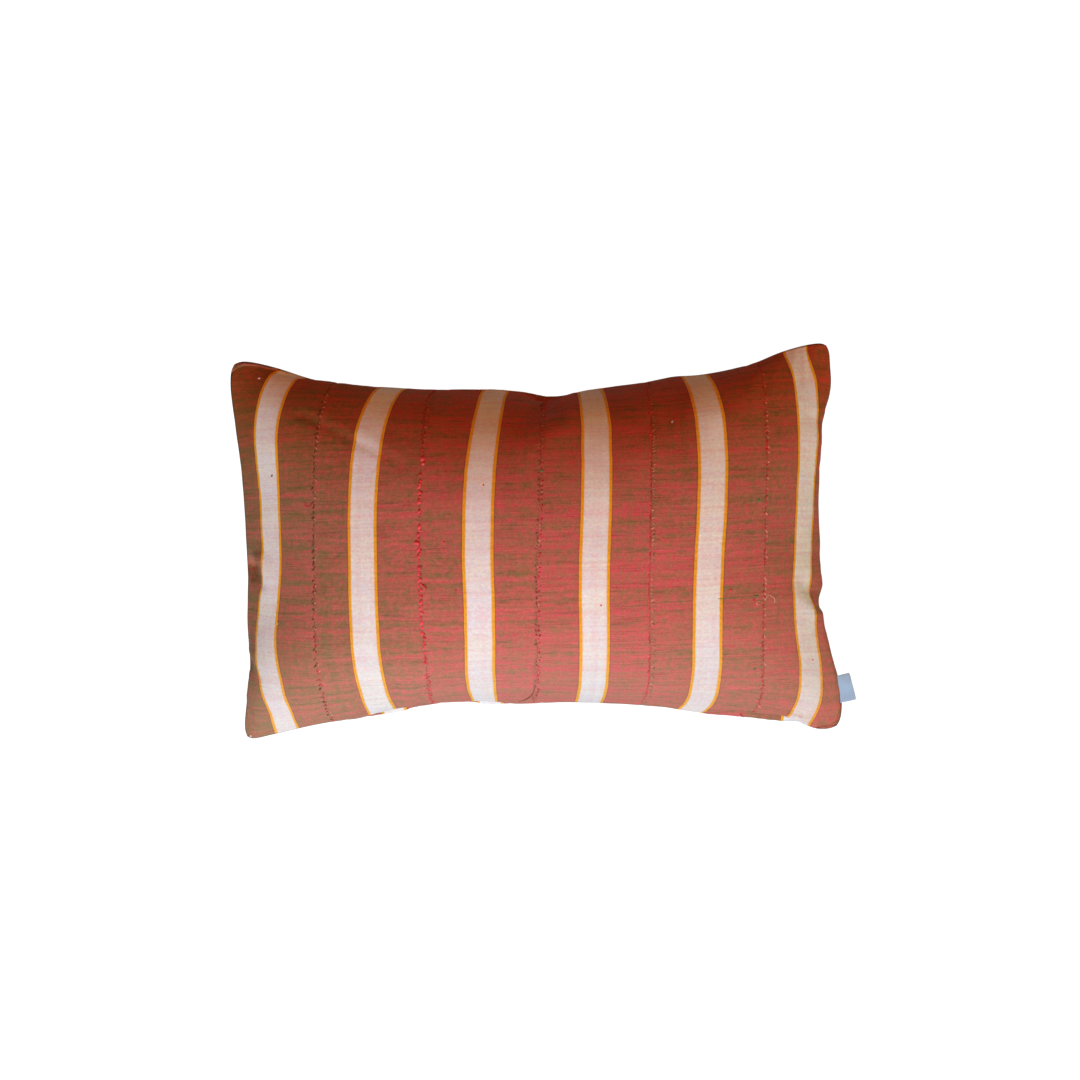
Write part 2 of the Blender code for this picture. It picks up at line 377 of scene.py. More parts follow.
def line_x(number, flat_y):
    """How far across the cut cloth a line of the front runs, at heights up the cloth."""
    fine = np.linspace(-0.2, 0.2, 401)
    stepped = np.interp(fine, LINE_HEIGHTS, LINES[number])
    window = np.hanning(2 * LINE_SMOOTHING + 1)
    window /= window.sum()
    smooth = np.convolve(np.pad(stepped, LINE_SMOOTHING, mode="edge"), window, mode="valid")
    return FIRST_STRIPE + line_place(number) * STRIP_WIDTH + 0.001 * np.interp(flat_y, fine, smooth)


def front_strips(flat_x, flat_y):
    """Place across the front in strip widths: whole numbers are stripes, and joins lie half way."""
    left = line_x(0, flat_y)
    strips = line_place(0) + (flat_x - left) / STRIP_WIDTH
    for number in range(1, len(LINES)):
        right = line_x(number, flat_y)
        before = line_place(number - 1)
        between = before + (line_place(number) - before) * (flat_x - left) / (right - left)
        strips = np.where(flat_x > left, between, strips)
        left = right
    return np.where(flat_x > left, line_place(len(LINES) - 1) + (flat_x - left) / STRIP_WIDTH, strips)


def back_strips(flat_x):
    """Place across the back in strip widths, counted as on the front."""
    return (flat_x - FIRST_BACK_STRIPE) / BACK_STRIP_WIDTH


def trough(x, y, start_x, start_y, end_x, end_y, deep, half_width):
    """Depth of one crease at plan positions: deepest at its start, with a low lip on one side."""
    run = np.array([end_x - start_x, end_y - start_y])
    length = np.linalg.norm(run)
    run = run / length
    ahead = (x - start_x) * run[0] + (y - start_y) * run[1]
    aside = (y - start_y) * run[0] - (x - start_x) * run[1]
    past_end = np.clip(ahead - length, 0.0, None) - np.clip(ahead, None, 0.0)
    fade = deep * (1.0 - 0.7 * np.clip(ahead / length, 0.0, 1.0)) * np.exp(-((past_end / half_width) ** 2))
    lip = 0.3 * np.exp(-((aside / half_width - 2.0) ** 2))
    return fade * (np.exp(-((aside / half_width) ** 2)) - lip)


def wander(points, size, seed):
    """Smooth noise from -1 to 1 at points, with bumps of about the given size."""
    start = Vector((seed, 2.0 * seed, 3.0 * seed))
    return np.array([noise.noise(Vector(point) / size + start) for point in points])


points = points_of(mesh)
normals = rows_of(mesh.vertices, "normal")
flat_x = (cut[:, 0] - 0.5) * CUT_WIDTH
flat_y = (cut[:, 1] - 0.5) * CUT_HEIGHT
in_front = cut[:, 2] > 0.0
depth = np.zeros(len(points))
for crease in CREASES:
    depth += in_front * trough(points[:, 0], points[:, 1], *crease)
strips_across = np.where(in_front, front_strips(flat_x, flat_y), back_strips(flat_x))
from_join = (np.abs((strips_across - 0.5) - np.rint(strips_across - 0.5))) * STRIP_WIDTH
is_join = (strips_across > 0.0) & (strips_across < 5.0)
pull = 0.6 + 0.4 * wander(np.stack([flat_x * 0.0, flat_y, cut[:, 2]], axis=1), 0.006, 1.0)
depth += JOIN_DEPTH * pull * is_join * np.exp(-((from_join / JOIN_HALF_WIDTH) ** 2))
from_side = 0.5 * CUT_WIDTH - np.abs(flat_x)
from_end = 0.5 * CUT_HEIGHT - np.abs(flat_y)
from_seam = np.minimum(from_side, from_end)
gathers = np.where(
    from_end < from_side,
    wander(np.stack([flat_x, 0.2 * flat_y, cut[:, 2]], axis=1), GATHER_PITCH, 2.0),
    wander(np.stack([0.2 * flat_x, flat_y, cut[:, 2]], axis=1), GATHER_PITCH, 3.0),
)
fading = np.exp(-from_seam / GATHER_REACH)
depth += GATHER_DEPTH * gathers * fading * (1.0 - np.exp(-from_seam / GATHER_START))
for size, deep in LUMP_SIZES:
    depth += deep * wander(np.stack([flat_x, flat_y, 0.3 * cut[:, 2]], axis=1), size, 4.0 + size)
depth *= np.clip(points[:, 2] / SMOOTH_BELOW, 0.0, 1.0)
points -= normals * depth[:, None]
move_points(mesh, points)

# The cloth's own map, counted in strip widths: stripes and yarns follow it over the folds
BACK_MAP_OFFSET = 4.0
bpy.ops.object.select_all(action="DESELECT")
cover.select_set(True)
weave_map = mesh.uv_layers[0]
weave_map.name = "weave"
corner_point = np.empty(len(mesh.loops), dtype=np.int32)
mesh.loops.foreach_get("vertex_index", corner_point)
polygon_sides = np.array([sum(cut[k, 2] for k in polygon.vertices) for polygon in mesh.polygons])
corner_front = np.repeat(polygon_sides > 0.0, [polygon.loop_total for polygon in mesh.polygons])
map_x = np.where(corner_front, front_strips(flat_x, flat_y)[corner_point], back_strips(flat_x)[corner_point])
map_y = flat_y[corner_point] / STRIP_WIDTH
map_y = np.where(corner_front, map_y, map_y + BACK_MAP_OFFSET)
weave_map.data.foreach_set("uv", np.stack([map_x, map_y], axis=1).ravel())
bpy.ops.object.shade_smooth()

# The cloth: a plain weave shot with two colours, so it reads brick where red and olive yarns mix, redder or
# greener weft by weft and warp by warp, with thick dark wefts here and there. On the front, painted shade
# makes the cloth darker and deeper red towards the top seam; towards the bottom seam a painted sheen makes
# the red paler and painted shade makes the white greyer. The warp turns white for one broad stripe, with a
# yellow line at each side, and there the red weft is only a pink bloom. Widths are in millimetres.
WHITE_HALF_WIDTH = 10.0
YELLOW_WIDTH = 2.8
STRIPE_WOBBLE = 0.35
EDGE_BLUR = 0.25
WARP_PITCH = 0.36
WEFT_PITCH = 0.42
OLIVE = (0.270, 0.166, 0.072)
BRICK = (0.503, 0.147, 0.100)
RED = (0.706, 0.107, 0.119)
# Painted shade: the front is multiplied by this colour towards its top seam
TOP_PAINTED_SHADE = (0.820, 0.525, 0.210)
# Painted sheen: the front is mixed a little towards this colour near its bottom seam
BOTTOM_PAINTED_SHEEN = (0.660, 0.420, 0.300)
DEEP_OLIVE = (0.190, 0.135, 0.078)
SHADOW = (0.640, 0.660, 0.600)
BRIGHT_RED = (0.780, 0.070, 0.095)
CREAM = (0.900, 0.855, 0.760)
LAVENDER = (0.860, 0.812, 0.825)
PINK = (0.870, 0.500, 0.510)
# Painted shade: the white stripes are mixed towards this grey near the bottom seam
BOTTOM_WHITE_PAINTED_SHADE = (0.500, 0.490, 0.480)
YELLOW = (0.890, 0.390, 0.018)
PALE_YELLOW = (0.930, 0.520, 0.180)
PLUM = (0.330, 0.070, 0.060)
# Painted shade in the gap between two strips
GAP_PAINTED_SHADE = (0.120, 0.040, 0.025)


class Finish:
    """A procedural material being put together: each method adds its nodes and returns what they give."""

    def __init__(self, name):
        self.material = bpy.data.materials.new(name)
        self.material.use_nodes = True
        self.nodes = self.material.node_tree.nodes
        self.shader = self.nodes["Principled BSDF"]

    def feed(self, socket, value):
        """Put a number, a colour or another node's output on a socket."""
        if isinstance(value, bpy.types.NodeSocket):
            self.material.node_tree.links.new(value, socket)
        elif isinstance(value, tuple) and len(value) == 3 and socket.type == "RGBA":
            socket.default_value = (*value, 1.0)
        else:
            socket.default_value = value

    def maths(self, operation, *values, clamp=False):
        node = self.nodes.new("ShaderNodeMath")
        node.operation = operation
        node.use_clamp = clamp
        for socket, value in zip(node.inputs, values):
            self.feed(socket, value)
        return node.outputs[0]

    def times(self, value, factor):
        return self.maths("MULTIPLY", value, factor)

    def map_axes(self, name):
        """Across and up on one of the piece's maps."""
        node = self.nodes.new("ShaderNodeUVMap")
        node.uv_map = name
        split = self.nodes.new("ShaderNodeSeparateXYZ")
        self.feed(split.inputs[0], node.outputs["UV"])
        return split.outputs[0], split.outputs[1]

    def blend(self, share, first, second, how="MIX"):
        node = self.nodes.new("ShaderNodeMix")
        node.data_type = "RGBA"
        node.blend_type = how
        self.feed(node.inputs["Factor"], share)
        self.feed(node.inputs["A"], first)
        self.feed(node.inputs["B"], second)
        return node.outputs["Result"]

    def step(self, value, start, end):
        """A smooth step from 0 at start to 1 at end."""
        node = self.nodes.new("ShaderNodeMapRange")
        node.interpolation_type = "SMOOTHSTEP"
        for name, number in (("Value", value), ("From Min", start), ("From Max", end)):
            self.feed(node.inputs[name], number)
        return node.outputs["Result"]

    def place(self, x, y, z=0.0):
        node = self.nodes.new("ShaderNodeCombineXYZ")
        for socket, value in zip(node.inputs, (x, y, z)):
            self.feed(socket, value)
        return node.outputs[0]

    def grain(self, x, y, z, detail=1.0):
        """Noise about 0.5 at a place counted in bumps."""
        node = self.nodes.new("ShaderNodeTexNoise")
        self.feed(node.inputs["Vector"], self.place(x, y, z))
        node.inputs["Scale"].default_value = 1.0
        node.inputs["Detail"].default_value = detail
        return node.outputs["Fac"]

    def ramp(self, value, *stops):
        """A colour that runs through stops of (place, colour)."""
        node = self.nodes.new("ShaderNodeValToRGB")
        steps = node.color_ramp.elements
        while len(steps) < len(stops):
            steps.new(0.5)
        for step, (place, colour) in zip(steps, stops):
            step.position = place
            step.color = (*colour, 1.0)
        self.feed(node.inputs["Fac"], value)
        return node.outputs["Color"]

    def bump(self, height, distance, strength=1.0):
        node = self.nodes.new("ShaderNodeBump")
        node.inputs["Strength"].default_value = strength
        node.inputs["Distance"].default_value = distance
        self.feed(node.inputs["Height"], height)
        return node.outputs["Normal"]


def cover_cloth():
    """The hand-woven strip cloth, drawn on the cover's own map."""
    cloth = Finish("cover_cloth")
    maths, times, blend, step = cloth.maths, cloth.times, cloth.blend, cloth.step
    strips, rows = cloth.map_axes("weave")
    strip = maths("ROUND", strips)
    strip_mm = 1000.0 * STRIP_WIDTH
    across = times(maths("SUBTRACT", strips, strip), strip_mm)
    up = times(rows, strip_mm)
    x = times(strips, strip_mm)

    def blots(width, height, layer, detail=1.0):
        """Noise whose blots are so many millimetres wide and high."""
        return cloth.grain(maths("DIVIDE", x, width), maths("DIVIDE", up, height), layer, detail)

    def yarn_noise(width, height, seed, detail=1.0):
        """Such noise, starting anew at each strip."""
        return blots(width, height, maths("MULTIPLY_ADD", strip, 7.31, seed), detail)

    def added(base, noise, amount):
        """The base with so much of a noise added, the noise taken about its middle."""
        return maths("ADD", base, maths("MULTIPLY_ADD", noise, amount, -0.5 * amount))

    wobble = yarn_noise(1000.0, 16.0, 0.0, 2.0)
    wobble = maths("MULTIPLY_ADD", wobble, 2.0 * STRIPE_WOBBLE, -STRIPE_WOBBLE)
    from_middle = maths("ABSOLUTE", maths("ADD", across, wobble))
    yellow_end = WHITE_HALF_WIDTH + YELLOW_WIDTH
    outside_white = step(from_middle, WHITE_HALF_WIDTH - EDGE_BLUR, WHITE_HALF_WIDTH + EDGE_BLUR)
    outside_yellow = step(from_middle, yellow_end - EDGE_BLUR, yellow_end + EDGE_BLUR)
    beside = step(from_middle, yellow_end + 1.4, yellow_end + 0.1)

    # How red the shot cloth is: olive at 0.05, brick at 0.47, red at 0.92
    wefts = yarn_noise(900.0, 5.2, 1.7, 4.0)
    warps = yarn_noise(5.0, 300.0, 5.3)
    patches = yarn_noise(4.6, 4.4, 8.9)
    shot = added(0.47, wefts, 1.20)
    shot = added(shot, warps, 0.38)
    shot = added(shot, patches, 1.00)
    shot = added(shot, yarn_noise(60.0, 16.0, 3.1), 0.40)
    # Towards the left side, and less towards the right side, the shot turns olive and darker: partly the
    # strips' own colour, partly painted shade where these sides fall in shade
    shot = maths("SUBTRACT", shot, times(step(strips, -0.10, -0.22), 0.04))
    shot = maths("ADD", shot, maths("MULTIPLY_ADD", step(strips, 0.2, 2.2), 0.27, -0.21))
    shot = maths("SUBTRACT", shot, times(step(strips, 3.2, 4.2), 0.07))
    field = cloth.ramp(shot, (0.05, OLIVE), (0.47, BRICK), (0.92, RED))
    dashes = yarn_noise(34.0, 2.1, 12.4, 2.0)
    field = blend(times(step(dashes, 0.62, 0.72), 0.40), field, BRIGHT_RED)
    field = blend(times(step(dashes, 0.40, 0.28), 0.60), field, DEEP_OLIVE)
    thick_wefts = step(yarn_noise(26.0, 1.1, 17.5), 0.58, 0.70)
    field = blend(times(thick_wefts, 0.60), field, SHADOW, "MULTIPLY")
    # Painted shade: darker and deeper red towards the top seam, on the front only
    painted_top_shade = times(step(up, 15.0, 150.0), step(up, 200.0, 190.0))
    field = blend(times(painted_top_shade, 0.95), field, TOP_PAINTED_SHADE, "MULTIPLY")

    # The white stripe with its bloom, and its yellow edge lines
    bloom = added(0.30, wefts, 1.8)
    bloom = added(bloom, warps, 1.0)
    bloom = added(bloom, yarn_noise(3.4, 2.8, 14.0), 1.5)
    bloom = added(bloom, yarn_noise(30.0, 1.3, 16.0), 0.7)
    tone = added(0.50, yarn_noise(40.0, 22.0, 30.0), 1.3)
    tone = added(tone, yarn_noise(6.0, 4.0, 33.0), 0.9)
    white = blend(step(tone, 0.1, 0.9), CREAM, LAVENDER)
    white = blend(maths("MULTIPLY", bloom, 0.54, clamp=True), white, PINK)
    # Painted shade: the white greyer towards the bottom seam, on the front only
    painted_light_to_foot = step(up, -30.0, -150.0)
    white = blend(times(painted_light_to_foot, 0.20), white, BOTTOM_WHITE_PAINTED_SHADE)
    pale_edge = step(from_middle, WHITE_HALF_WIDTH + 0.9, WHITE_HALF_WIDTH + 0.1)
    yellow = blend(pale_edge, YELLOW, PALE_YELLOW)
    colour = blend(outside_white, white, yellow)
    colour = blend(outside_yellow, colour, field)
    colour = blend(times(beside, times(outside_yellow, 0.5)), colour, PLUM)

    # Light and dark of the yarns, and painted shade in the gap between two strips
    warp = maths("SINE", times(x, math.pi / WARP_PITCH))
    weft = maths("SINE", times(up, math.pi / WEFT_PITCH))
    crossing = times(warp, weft)
    thickness = added(1.00, yarn_noise(400.0, 2.0, 20.0), 0.32)
    thickness = added(thickness, yarn_noise(1.9, 1.8, 23.0), 0.52)
    shade = maths("MULTIPLY_ADD", crossing, 0.05, thickness)
    evenness = maths("MULTIPLY_ADD", outside_white, 0.45, 0.55)
    colour = blend(evenness, colour, cloth.place(shade, shade, shade), "MULTIPLY")
    # Painted sheen: the colour mixed a little towards a pale salmon near the bottom seam, on the front only
    colour = blend(times(painted_light_to_foot, 0.13), colour, BOTTOM_PAINTED_SHEEN)
    to_join = maths("SUBTRACT", maths("ABSOLUTE", across), 0.5 * strip_mm)
    near_join = step(maths("ABSOLUTE", to_join), 0.9, 0.2)
    gap = times(near_join, step(blots(3.0, 2.2, 5.0), 0.40, 0.60))
    colour = blend(times(gap, 0.30), colour, GAP_PAINTED_SHADE)

    cloth.feed(cloth.shader.inputs["Base Color"], colour)
    cloth.feed(cloth.shader.inputs["Roughness"], maths("MULTIPLY_ADD", patches, 0.20, 0.74))
    cloth.shader.inputs["Specular IOR Level"].default_value = 0.05
    cloth.shader.inputs["Sheen Weight"].default_value = 0.05
    cloth.shader.inputs["Sheen Roughness"].default_value = 0.40
    cloth.shader.inputs["Sheen Tint"].default_value = (1.0, 0.45, 0.32, 1.0)
    relief = maths("MULTIPLY_ADD", crossing, 0.25, times(patches, 0.5))
    relief = maths("ADD", thickness, relief)
    relief = maths("SUBTRACT", relief, times(gap, 1.5))
    cloth.feed(cloth.shader.inputs["Normal"], cloth.bump(relief, 0.00025))
    return cloth.material


cover.data.materials.clear()
cover.data.materials.append(cover_cloth())
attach(cover, "root")
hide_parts("cushion")


# The joins: each strip is sewn to the next by hand, with red, rose and dark cotton. Each join has its own
# stitch: dark and rose ticks, thick red yarn, two faint rows, a fine red line with chevrons, crossed ticks.
# The thread stands so many millimetres off the cloth.
STITCH_LIFT = 0.10
THREAD_COLOURS = {
    "black": (0.135, 0.070, 0.045),
    "maroon": (0.240, 0.075, 0.055),
    "umber": (0.330, 0.160, 0.100),
    "dark red": (0.600, 0.060, 0.065),
    "dull red": (0.560, 0.085, 0.080),
    "red": (0.670, 0.075, 0.080),
    "bright red": (0.780, 0.080, 0.090),
    "rose": (0.700, 0.250, 0.210),
    "straw": (0.600, 0.270, 0.180),
    "pink": (0.820, 0.330, 0.320),
    "tan": (0.800, 0.500, 0.370),
    "green": (0.100, 0.240, 0.100),
    "blue": (0.100, 0.150, 0.340),
    "grey": (0.420, 0.400, 0.370),
    "lint": (0.860, 0.830, 0.770),
}
# For each join its rows of stitches, in millimetres and degrees: offset, lean, length, width, colour,
# share that shows, pitch, where it starts and where it ends up the cloth
JOIN_ROWS = (
    (
        (-1.3, 40.0, 3.8, 1.35, "maroon", 0.75, 4.8, 0.0, 176.0),
        (1.2, -42.0, 3.8, 1.35, "rose", 0.75, 5.0, 2.4, 176.0),
        (-0.2, 8.0, 3.2, 1.20, "black", 0.50, 5.4, 1.2, 176.0),
        (1.0, -38.0, 4.0, 1.60, "red", 0.75, 5.4, -175.0, 0.0),
        (-1.2, 42.0, 4.0, 1.40, "black", 0.75, 5.0, -172.4, 0.0),
        (0.0, 4.0, 3.8, 1.50, "maroon", 0.55, 5.4, -174.0, 0.0),
        (1.6, 38.0, 3.0, 1.20, "straw", 0.50, 4.8, -173.6, 0.0),
    ),
    (
        (0.4, 12.0, 4.6, 2.20, "dull red", 0.85, 4.8, 84.0, 176.0),
        (-1.7, 0.0, 5.4, 1.00, "maroon", 0.95, 4.4, 98.0, 176.0),
        (-0.2, 18.0, 5.6, 2.60, "bright red", 0.70, 5.8, 2.0, 74.0),
        (0.8, -26.0, 4.0, 2.20, "red", 0.60, 5.2, 4.7, 84.0),
        (-0.4, 18.0, 5.4, 2.60, "bright red", 0.85, 4.8, -118.0, 0.0),
        (0.9, -28.0, 4.0, 2.30, "red", 0.75, 4.9, -118.0, 0.0),
        (-1.2, 18.0, 3.4, 1.70, "dark red", 0.80, 4.4, -175.0, -114.0),
        (1.4, -18.0, 3.4, 1.70, "dark red", 0.80, 4.4, -173.0, -114.0),
    ),
    (
        (-1.8, 30.0, 3.2, 1.30, "umber", 0.75, 4.2, -175.0, 176.0),
        (-1.2, -34.0, 3.0, 1.30, "maroon", 0.50, 4.6, -172.4, 176.0),
        (1.6, 12.0, 3.2, 1.80, "dark red", 0.75, 4.3, -173.0, 176.0),
        (0.6, -30.0, 3.2, 1.20, "rose", 0.50, 4.6, -171.5, 176.0),
        (2.3, 30.0, 2.6, 1.20, "umber", 0.40, 4.6, -170.5, 176.0),
    ),
    (
        (-0.8, 0.0, 5.6, 1.15, "dark red", 1.00, 4.4, 4.0, 176.0),
        (-0.8, 0.0, 5.6, 1.20, "red", 1.00, 4.4, -175.0, 4.0),
        (1.8, 58.0, 3.4, 1.10, "straw", 0.50, 3.1, -174.0, 176.0),
        (3.2, -52.0, 3.2, 1.10, "umber", 0.65, 3.1, -172.6, 176.0),
        (-0.8, 16.0, 4.4, 2.60, "red", 1.00, 3.4, 94.0, 110.0),
    ),
    (
        (-1.0, 40.0, 4.2, 1.40, "dark red", 0.80, 4.6, -175.0, 176.0),
        (1.0, -40.0, 4.2, 1.40, "rose", 0.75, 4.6, -172.6, 176.0),
        (0.0, 0.0, 2.8, 2.00, "red", 0.55, 4.8, -173.6, 176.0),
        (-1.5, -14.0, 3.2, 1.25, "umber", 0.60, 4.6, -171.2, 176.0),
        (0.0, 10.0, 3.8, 2.40, "bright red", 0.80, 4.0, 73.0, 88.0),
    ),
)


def panel_grid(side):
    """Place and outward direction of each point of the front (1) or the back (-1), in rows up the cloth."""
    on_panel = cut[:, 2] * side >= 0.0
    column = np.rint(cut[on_panel, 0] * 2 * CELLS_ACROSS).astype(int)
    row = np.rint(cut[on_panel, 1] * 2 * CELLS_UP).astype(int)
    grid = np.zeros((2 * CELLS_UP + 1, 2 * CELLS_ACROSS + 1, 6))
    grid[row, column] = np.hstack([points_of(mesh), rows_of(mesh.vertices, "normal")])[on_panel]
    return grid


panels = {side: panel_grid(side) for side in (1, -1)}


def on_cover(side, x, y):
    """Places and outward directions on the finished cover, by place on the cut cloth."""
    grid = panels[side]
    u = np.clip((x / CUT_WIDTH + 0.5) * 2 * CELLS_ACROSS, 0.0, 2 * CELLS_ACROSS - 0.001)
    v = np.clip((y / CUT_HEIGHT + 0.5) * 2 * CELLS_UP, 0.0, 2 * CELLS_UP - 0.001)
    i, j = u.astype(int), v.astype(int)
    u, v = (u - i)[..., None], (v - j)[..., None]
    low = (1.0 - u) * grid[j, i] + u * grid[j, i + 1]
    high = (1.0 - u) * grid[j + 1, i] + u * grid[j + 1, i + 1]
    both = (1.0 - v) * low + v * high
    away = both[..., 3:]
    return both[..., :3], away / np.linalg.norm(away, axis=-1, keepdims=True)


def dyed(part, colours):
    """Give a mesh's points their thread colour."""
    shades = part.attributes.new("thread_colour", "FLOAT_COLOR", "POINT")
    shades.data.foreach_set("color", np.hstack([colours, np.ones((len(colours), 1))]).ravel())


def thread_cotton():
    """Cotton thread in the colour that its points carry, with the light and dark of its ply."""
    cotton = Finish("join_thread")
    dye = cotton.nodes.new("ShaderNodeAttribute")
    dye.attribute_name = "thread_colour"
    where = cotton.nodes.new("ShaderNodeTexCoord")
    ply = cotton.nodes.new("ShaderNodeTexNoise")
    ply.inputs["Scale"].default_value = 2200.0
    cotton.feed(ply.inputs["Vector"], where.outputs["Object"])
    shade = cotton.maths("MULTIPLY_ADD", ply.outputs["Fac"], 0.9, 0.55)
    colour = cotton.blend(1.0, dye.outputs["Color"], cotton.place(shade, shade, shade), "MULTIPLY")
    cotton.feed(cotton.shader.inputs["Base Color"], colour)
    cotton.shader.inputs["Roughness"].default_value = 0.80
    cotton.shader.inputs["Specular IOR Level"].default_value = 0.08
    cotton.feed(cotton.shader.inputs["Normal"], cotton.bump(ply.outputs["Fac"], 0.0001))
    return cotton.material


# One stitch: a short thread that arches out of the cloth and dives back at both ends
bpy.ops.object.select_all(action="DESELECT")
bpy.ops.mesh.primitive_cylinder_add(vertices=6, radius=0.5, depth=1.0, location=(0.0, 0.0, 0.0))
stitch = bpy.context.active_object
bpy.ops.object.mode_set(mode="EDIT")
bpy.ops.mesh.select_all(action="SELECT")
bpy.ops.transform.rotate(value=0.5 * math.pi, orient_axis="X", center_override=(0.0, 0.0, 0.0))
for station in (-0.3, 0.0, 0.3):
    bpy.ops.mesh.select_all(action="SELECT")
    bpy.ops.mesh.bisect(plane_co=(0.0, station, 0.0), plane_no=(0.0, 1.0, 0.0))
bpy.ops.mesh.select_all(action="SELECT")
bpy.ops.mesh.normals_make_consistent(inside=False)
bpy.ops.object.mode_set(mode="OBJECT")
stitch_points = points_of(stitch.data)
to_end = 2.0 * np.abs(stitch_points[:, 1:2])
stitch_points[:, ::2] *= 1.0 - 0.55 * to_end**3
stitch_points[:, 2:] -= 0.75 * to_end**2
stitch_faces = [list(face.vertices) for face in stitch.data.polygons]
bpy.ops.object.delete()

cotton = thread_cotton()
draw = random.Random(7)
for number, rows in enumerate(JOIN_ROWS):
    placed, faces, dyes = [], [], []
    for side in (1, -1):
        for offset, lean, length, width, colour, share, pitch, height, end in rows:
            while height < end:
                turn = math.radians(lean + draw.uniform(-16.0, 16.0))
                long = length * draw.uniform(0.65, 1.30)
                wide = width * draw.uniform(0.65, 1.35)
                aside = offset + draw.uniform(-0.6, 0.6)
                bright = draw.uniform(0.70, 1.20)
                middle = height + draw.uniform(-0.8, 0.8)
                height += pitch * draw.uniform(0.88, 1.12)
                if draw.random() > share:
                    continue
                y = 0.001 * middle
                dye = bright * np.array(THREAD_COLOURS[colour])
                if side > 0:
                    join_x = line_x(3 * number + 2, y)
                    # Painted shade: stitches on the front darken towards the top seam as the cloth does
                    dye *= 1.0 - np.clip((middle - 25.0) / 120.0, 0.0, 0.95) * (1.0 - np.array(TOP_PAINTED_SHADE))
                else:
                    join_x = FIRST_BACK_STRIPE + (number + 0.5) * BACK_STRIP_WIDTH
                beside = stitch_points[:, 0] * wide
                ahead = stitch_points[:, 1] * long
                cloth_x = join_x + 0.001 * (aside + beside * math.cos(turn) + ahead * math.sin(turn))
                cloth_y = y + 0.001 * (ahead * math.cos(turn) - beside * math.sin(turn))
                place, away = on_cover(side, cloth_x, cloth_y)
                thick = 0.6 * wide * stitch_points[:, 2:] + STITCH_LIFT
                first = len(placed) * len(stitch_points)
                faces += [[first + corner for corner in face] for face in stitch_faces]
                placed.append(place + 0.001 * thick * away)
                dyes.append(np.tile(dye, (len(stitch_points), 1)))
    sewing = np.vstack(placed)
    sewing[:, 2] = np.maximum(sewing[:, 2], 0.0)
    join_mesh = bpy.data.meshes.new(f"join_{number + 1}")
    join_mesh.from_pydata(sewing.tolist(), [], faces)
    dyed(join_mesh, np.vstack(dyes))
    join_mesh.shade_smooth()
    join_mesh.materials.append(cotton)
    join = bpy.data.objects.new(f"join_{number + 1}", join_mesh)
    bpy.context.scene.collection.objects.link(join)
    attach(join, "root")

# Loose ends and knots: threads that have come out of the joins and the seam, knots where dyed yarns were
# tied in the weaving, and a little lint. Places are on the cut cloth's front, in millimetres.
THREAD_POINTS_BETWEEN = 6
# thickness, colour, then places with the height above the cloth
LOOSE_THREADS = (
    (0.50, "dark red", (
        (-203.6, 43.5, 0.1), (-204.6, 40.0, 0.9), (-202.0, 37.2, 1.2), (-198.4, 38.6, 0.9),
        (-195.8, 41.5, 0.2),
    )),
    (0.55, "maroon", ((-94.2, -30.8, 0.1), (-92.0, -30.6, 0.9), (-90.6, -33.0, 0.9), (-91.8, -35.2, 0.2))),
    (1.30, "bright red", ((-96.4, -30.0, 0.2), (-94.4, -31.8, 0.7), (-92.0, -34.4, 0.2))),
    (0.42, "tan", (
        (205.6, -55.6, 0.1), (206.6, -51.2, 1.2), (209.4, -50.0, 1.6), (211.8, -52.6, 1.2),
        (214.6, -53.0, 1.0), (216.2, -56.4, 0.5), (214.8, -58.2, 0.1),
    )),
    (0.42, "tan", (
        (199.6, -58.6, 0.1), (196.4, -59.4, 0.9), (195.0, -56.8, 1.1), (197.4, -54.6, 0.8),
        (200.4, -55.6, 0.1),
    )),
    (0.70, "maroon", (
        (-14.3, -173.4, 0.1), (-9.9, -169.3, 0.5), (-5.4, -165.5, 0.8), (-2.6, -156.9, 0.9),
        (-1.4, -148.9, 0.8), (-0.6, -139.6, 0.1),
    )),
    (0.45, "green", (
        (197.6, -50.6, 0.2), (190.0, -50.9, 0.3), (181.0, -50.6, 0.3), (170.0, -50.9, 0.2),
        (160.0, -50.7, 0.05),
    )),
    (0.50, "pink", ((246.4, -172.4, 0.1), (249.0, -172.9, 0.5), (251.6, -173.3, 0.1))),
    (0.30, "tan", ((-62.0, -121.0, 0.1), (-60.4, -118.6, 0.8), (-57.8, -118.2, 0.1))),
)
